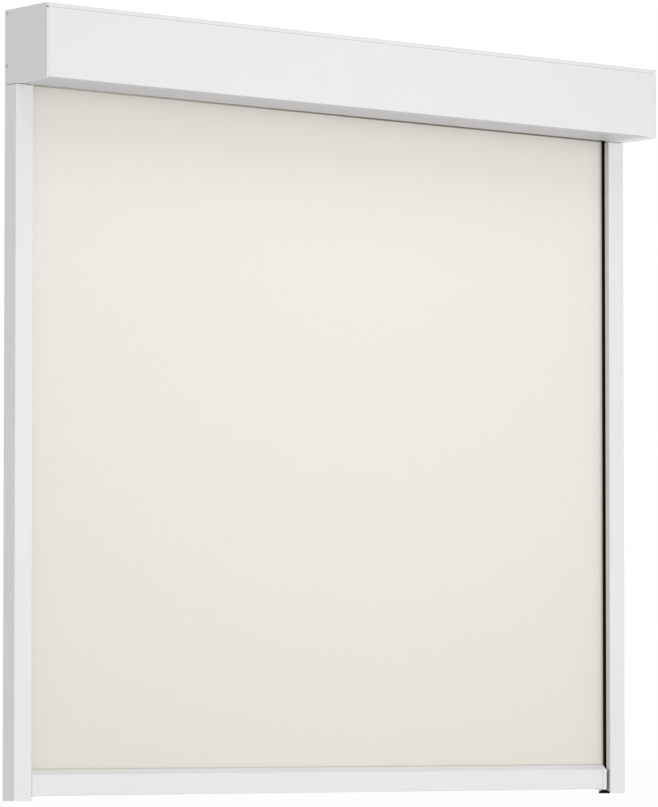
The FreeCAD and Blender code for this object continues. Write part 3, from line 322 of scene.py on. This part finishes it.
def screen_weave():
    """Basket weave of coated yarn: each cell shows a pair of yarns, upright or across."""
    finish = Finish("screen_weave", {"Specular IOR Level": 0.3})
    axes = finish.nodes.new("ShaderNodeSeparateXYZ")
    finish.links.new(finish.place, axes.inputs["Vector"])
    pair = []
    for axis in ("X", "Z"):
        turns = finish.calculate("MULTIPLY", axes.outputs[axis], 2 * math.pi / WEAVE_CELL)
        wave = finish.calculate("SINE", turns, 0.0)
        pair.append(finish.calculate("ABSOLUTE", wave, 0.0))
    cells = finish.nodes.new("ShaderNodeTexChecker")
    cells.inputs["Scale"].default_value = 1 / WEAVE_CELL
    cells.inputs["Color1"].default_value = (0, 0, 0, 1)
    cells.inputs["Color2"].default_value = (1, 1, 1, 1)
    flat = finish.nodes.new("ShaderNodeCombineXYZ")
    finish.links.new(axes.outputs["X"], flat.inputs["X"])
    finish.links.new(axes.outputs["Z"], flat.inputs["Y"])
    finish.links.new(flat.outputs["Vector"], cells.inputs["Vector"])
    yarn = finish.nodes.new("ShaderNodeMix")
    finish.links.new(cells.outputs["Fac"], yarn.inputs["Factor"])
    finish.links.new(pair[0], yarn.inputs["A"])
    finish.links.new(pair[1], yarn.inputs["B"])
    height = yarn.outputs["Result"]
    slub = finish.noise(SLUB, stretch=SLUB_STRETCH)
    tone = finish.calculate("MULTIPLY", height, finish.spread(slub, SLUB_DARK, 1.0))
    finish.colour(tone, CREAM_DARK, CREAM_LIGHT, 0.0, YARN_TOP)
    finish.stain(cells.outputs["Fac"], ACROSS_TONE)
    # painted shade on the cloth beside the rails
    finish.stain(finish.beyond("|X|", EDGE_SHADE, EDGE_SHADE_FADE), EDGE_SHADE_TONE)
    # painted black shadow on the cloth's edges, at the channels
    finish.stain(finish.beyond("|X|", SLOT_SHADE_EDGE, SLOT_SHADE_FADE), SLOT_SHADE_TONE)
    # painted shadow line where the cloth goes up into the cassette, stronger to the right
    growth = finish.spread(axes.outputs["X"], LINE_SHADE_START, 1.0, *LINE_SHADE_SPAN)
    line = finish.beyond("Z", UNDERSIDE, LINE_FADE)
    finish.stain(finish.calculate("MULTIPLY", line, growth), SLOT_LINE_SHADE)
    # painted shade, darker towards the bottom of the cloth
    finish.stain(finish.before("Z", BAR_TOP, LOW_SHADE_TOP - BAR_TOP), CLOTH_LOW_SHADE)
    # painted contact shadow just above the bar
    finish.stain(finish.before("Z", BAR_TOP + HEM_HEIGHT, LINE_FADE), HEM_SHADE_TONE)
    finish.roughness(slub, 0.62, 0.78)
    finish.bump(height, YARN_DEPTH)
    return finish


def coated_tape():
    return plain_finish("coated_tape", (0.60, 0.58, 0.54), variation=0.05, grain=0.0009, bump=0.00004,
                        roughness=(0.5, 0.65))


def dress():
    """Gives every CAD node the finish of its slot in the record, or its own where it is worn, toned or
    carries painted shade.
    """
    finishes = {
        "white_coat": powder_coat(),
        "white_plastic": moulded_white("moulded_white", END_CAP_LEVEL),
        "white_paint": painted_steel(),
        "dark_plastic": moulded_black(),
        "screen_fabric": screen_weave(),
        "tape": coated_tape(),
        "steel": zinc_plate(),
        "motor_paint": motor_paint(),
        "bare_aluminium": drawn_aluminium(),
        "grey_plastic": moulded_grey(),
        "rubber": soft_rubber(),
    }
    for part in frame["record"]["subparts"]:
        wear(frame["nodes"][part["node"]], finishes[part["material_slot"]])
    # own finishes: scuffed pads, a darker bar slope, and painted shade on the rails' lips and the
    # cassette's underside
    worn_or_shaded = {
        shaded_lip_coat(): ("rail_cover_left", "rail_cover_right"),
        shaded_underside_coat(): ("front_cover", "housing"),
        darken_slope(powder_coat("darker_slope_coat")): ("bar_profile",),
        darken_slope(moulded_white("bar_cap_white", BAR_CAP_LEVEL)): ("bar_cap_left", "bar_cap_right"),
        scuffed_black(): ("bar_pad_left", "bar_pad_right"),
    }
    for finish, nodes in worn_or_shaded.items():
        for node in nodes:
            wear(frame["nodes"][node], finish)
    return finishes


def wear(item, finish):
    item.data.materials.clear()
    item.data.materials.append(finish.material)


finishes = dress()

# Screen: the hanging cloth, the turns on the tube and the zip tapes

screen_low, screen_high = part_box("fabric_screen")
roll_low, roll_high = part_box("fabric_roll")
tube_low, tube_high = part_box("roller_tube")
CLOTH_THICKNESS = screen_high.y - screen_low.y
cloth_plane = (screen_low.y + screen_high.y) / 2
axis_y = (tube_low.y + tube_high.y) / 2
axis_z = (tube_low.z + tube_high.z) / 2
CLOTH_CELLS = 60                     # across and down
BILLOW = 0.0006                      # height of the cloth's slow waves, out of its plane
WAVES_ACROSS = (9, 2)                # radians that they turn over the width and over the height
WAVES_DOWN = (-1.5, 5)
SOFT_ANGLE = math.radians(40)        # edges flatter than this look smooth


def start_grid(name, width, height, columns, rows):
    """A flat grid in the XY plane, to be bent into shape."""
    bpy.ops.object.select_all(action="DESELECT")
    bpy.ops.mesh.primitive_grid_add(x_subdivisions=columns, y_subdivisions=rows, size=1)
    item = bpy.context.object
    item.name = name
    item.scale = (width, height, 1)
    bpy.ops.object.transform_apply(scale=True)
    return item


def thicken(item, thickness):
    """Gives a sheet its thickness, half on each side."""
    solidify = item.modifiers.new("thickness", "SOLIDIFY")
    solidify.thickness = thickness
    solidify.offset = 0
    bpy.ops.object.modifier_apply(modifier=solidify.name)
    bpy.ops.object.shade_smooth_by_angle(angle=SOFT_ANGLE)


def hanging_cloth(edge_pieces):
    """The taut screen, with slow waves that die out at its edges."""
    size = screen_high - screen_low
    middle = (screen_high + screen_low) / 2
    cloth = start_grid("screen_cloth", size.x, size.z, CLOTH_CELLS, CLOTH_CELLS)
    for vertex in cloth.data.vertices:
        across = vertex.co.x / size.x
        up = vertex.co.y / size.z
        calm = (1 - 4 * across ** 2) * (1 - 4 * up ** 2)
        first, second = (right * across + rise * up for right, rise in (WAVES_ACROSS, WAVES_DOWN))
        wave = math.sin(first) * math.cos(second)
        vertex.co = Vector((middle.x + vertex.co.x, cloth_plane + BILLOW * calm * wave,
                            middle.z + vertex.co.y))
    thicken(cloth, CLOTH_THICKNESS)
    wear(cloth, finishes["screen_fabric"])
    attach(cloth, "frame")
    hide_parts("fabric_screen")
    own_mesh(cloth)


TURNS = 1.5                          # turns left on the tube when the screen is down
STEPS_PER_TURN = 64


def wound_cloth():
    """The turns that stay on the tube, as one spiral from the tube to the hanging cloth."""
    width = roll_high.x - roll_low.x
    outer = axis_y - cloth_plane
    start = (tube_high.y - tube_low.y) / 2 + CLOTH_THICKNESS
    growth = (-outer - start) / TURNS
    rows = int(TURNS * STEPS_PER_TURN)
    roll = start_grid("screen_roll", width, 1, columns=2, rows=rows)
    for vertex in roll.data.vertices:
        turn = (vertex.co.y + 0.5) * TURNS
        radius = start + growth * turn
        angle = math.pi - 2 * math.pi * turn
        vertex.co = Vector((vertex.co.x, axis_y + radius * math.cos(angle),
                            axis_z + radius * math.sin(angle)))
    thicken(roll, CLOTH_THICKNESS)
    wear(roll, finishes["screen_fabric"])
    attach(roll, "roller")
    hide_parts("fabric_roll")


TOOTH = 0.0026                       # pitch of the zip's teeth
TOOTH_ROOT = 0.82                    # the bead's radius between two teeth, as a share of theirs
BEAD_SIDES = 10
TAPE_ROWS = 40
TAPE_THICKNESS = CLOTH_THICKNESS * 1.2
MERGE_DISTANCE = 0.00001


def zip_tape(side):
    """Edge tape and the toothed bead that runs in the rail."""
    node = "zip_tape_" + side
    low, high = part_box(node)
    sign = -1 if side == "left" else 1
    seam = low.x if sign > 0 else high.x
    bead_radius = (high.y - low.y) / 2
    bead_x = (high.x if sign > 0 else low.x) - sign * bead_radius
    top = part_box("inlet_guide_" + side)[1].z
    rings = int((top - low.z) / TOOTH) * 2
    bead = start_grid("zip_bead_" + side, 1, 1, BEAD_SIDES, rings)
    for vertex in bead.data.vertices:
        ring = round((vertex.co.y + 0.5) * rings)
        radius = bead_radius * (1 if ring % 2 else TOOTH_ROOT)
        angle = 2 * math.pi * (vertex.co.x + 0.5)
        vertex.co = Vector((bead_x + radius * math.cos(angle), cloth_plane + radius * math.sin(angle),
                            low.z + (top - low.z) * (vertex.co.y + 0.5)))
    close_tube(bead)
    tape_width = abs(bead_x - seam)
    tape = start_grid("zip_tape_cloth_" + side, tape_width, high.z - low.z, 2, TAPE_ROWS)
    for vertex in tape.data.vertices:
        vertex.co = Vector(((bead_x + seam) / 2 + vertex.co.x, cloth_plane,
                            (high.z + low.z) / 2 + vertex.co.y))
    thicken(tape, TAPE_THICKNESS)
    for piece, fixed_end in ((bead, top), (tape, screen_high.z)):
        wear(piece, finishes["tape"])
        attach(piece, "frame")
        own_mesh(piece)
    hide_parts(node)
    return [tape, bead]


def close_tube(item):
    """Merges a rolled grid's seam, closes its ends and turns its faces outwards."""
    mesh = bmesh.new()
    mesh.from_mesh(item.data)
    bmesh.ops.remove_doubles(mesh, verts=mesh.verts, dist=MERGE_DISTANCE)
    rims = [edge for edge in mesh.edges if edge.is_boundary]
    bmesh.ops.holes_fill(mesh, edges=rims, sides=0)
    bmesh.ops.recalc_face_normals(mesh, faces=mesh.faces)
    mesh.to_mesh(item.data)
    mesh.free()


hanging_cloth(zip_tape("left") + zip_tape("right"))
wound_cloth()

# Floor, light and camera

FLOOR_LEVEL = -0.75
FLOOR_SIZE = 60
FLOOR_PAINT = 0.6                    # how light its matt paint is
FLOOR_SEEN = 0.985                   # share of the floor that shines by itself, as the camera sees it
FLOOR_GLOW = 0.65                    # and for the light that it gives the blind
SKY_SEEN = 1.0                       # strength of the world all round, as the camera sees it
SKY = 0.61                           # and for the light that it gives
WHITE_LIGHT = (1, 1, 1, 1)


def studio_floor():
    """Pale floor under the hanging blind: white to the camera, with the soft shadow kept."""
    bpy.ops.object.select_all(action="DESELECT")
    bpy.ops.mesh.primitive_plane_add(size=FLOOR_SIZE, location=(0, 0, FLOOR_LEVEL))
    floor = bpy.context.object
    floor.name = "studio_floor"
    material = bpy.data.materials.new("studio_floor")
    material.use_nodes = True
    nodes = material.node_tree.nodes
    links = material.node_tree.links
    nodes.clear()
    paint = nodes.new("ShaderNodeBsdfDiffuse")
    paint.inputs["Color"].default_value = (FLOOR_PAINT, FLOOR_PAINT, FLOOR_PAINT, 1)
    glow = nodes.new("ShaderNodeEmission")
    glow.inputs["Color"].default_value = WHITE_LIGHT
    mix = nodes.new("ShaderNodeMixShader")
    output = nodes.new("ShaderNodeOutputMaterial")
    links.new(seen_directly(nodes, links, FLOOR_SEEN, FLOOR_GLOW), mix.inputs["Fac"])
    links.new(paint.outputs["BSDF"], mix.inputs[1])
    links.new(glow.outputs["Emission"], mix.inputs[2])
    clear = nodes.new("ShaderNodeBsdfTransparent")
    below = nodes.new("ShaderNodeNewGeometry")
    sided = nodes.new("ShaderNodeMixShader")
    links.new(below.outputs["Backfacing"], sided.inputs["Fac"])
    links.new(mix.outputs["Shader"], sided.inputs[1])
    links.new(clear.outputs["BSDF"], sided.inputs[2])
    links.new(sided.outputs["Shader"], output.inputs["Surface"])
    floor.data.materials.append(material)


def seen_directly(nodes, links, seen, otherwise):
    """One value for camera, glossy and transmission rays, and another for the light itself."""
    path = nodes.new("ShaderNodeLightPath")
    total = path.outputs["Is Camera Ray"]
    for name in ("Is Glossy Ray", "Is Transmission Ray"):
        node = nodes.new("ShaderNodeMath")
        node.operation = "MAXIMUM"
        links.new(total, node.inputs[0])
        links.new(path.outputs[name], node.inputs[1])
        total = node.outputs["Value"]
    value = nodes.new("ShaderNodeMath")
    value.operation = "MULTIPLY_ADD"
    links.new(total, value.inputs[0])
    value.inputs[1].default_value = seen - otherwise
    value.inputs[2].default_value = otherwise
    return value.outputs["Value"]


def studio_world():
    """Pale light all round, which the camera sees as white."""
    world = bpy.data.worlds.new("studio")
    bpy.context.scene.world = world
    world.use_nodes = True
    nodes = world.node_tree.nodes
    links = world.node_tree.links
    nodes.clear()
    backdrop = nodes.new("ShaderNodeBackground")
    backdrop.inputs["Color"].default_value = WHITE_LIGHT
    links.new(seen_directly(nodes, links, SKY_SEEN, SKY), backdrop.inputs["Strength"])
    output = nodes.new("ShaderNodeOutputWorld")
    links.new(backdrop.outputs["Background"], output.inputs["Surface"])


def softbox(name, place, size, power):
    """A large square lamp that looks at the blind's middle."""
    light = bpy.data.lights.new(name, "AREA")
    light.shape = "SQUARE"
    light.size = size
    light.energy = power
    lamp = bpy.data.objects.new(name, light)
    bpy.context.scene.collection.objects.link(lamp)
    lamp.location = place
    lamp.rotation_euler = (-Vector(place)).to_track_quat("-Z", "Y").to_euler()


LENS = 213.22                        # millimetres, for a picture whose longer side is SENSOR
SENSOR = 36
SHIFT = 0.1                          # looks higher without a tilt, so that the uprights lean less
EYE = (-4.1225, -5.2573, -0.3647)
TURN = -38.171                       # degrees from straight at the wall, negative to the right
TILT = 2.779                         # degrees upwards
LEVEL = 90                           # a camera looks straight down until it is turned this far up
FURTHEST = 100                       # how far it sees, in metres


def camera():
    """Seen from the left front, a little from below, as in the photograph."""
    data = bpy.data.cameras.new("camera")
    data.lens = LENS
    data.shift_y = SHIFT
    data.sensor_width = SENSOR
    data.clip_end = FURTHEST
    eye = bpy.data.objects.new("camera", data)
    bpy.context.scene.collection.objects.link(eye)
    eye.location = EYE
    eye.rotation_euler = (math.radians(LEVEL + TILT), 0, math.radians(TURN))
    bpy.context.scene.camera = eye


studio_floor()
studio_world()
softbox("front_light", place=(0.15, -1.9, -0.05), size=1.0, power=10)
softbox("top_light", place=(-0.6, -1.8, 2.4), size=1.4, power=10)
camera()
bpy.context.scene.view_settings.view_transform = "Standard"
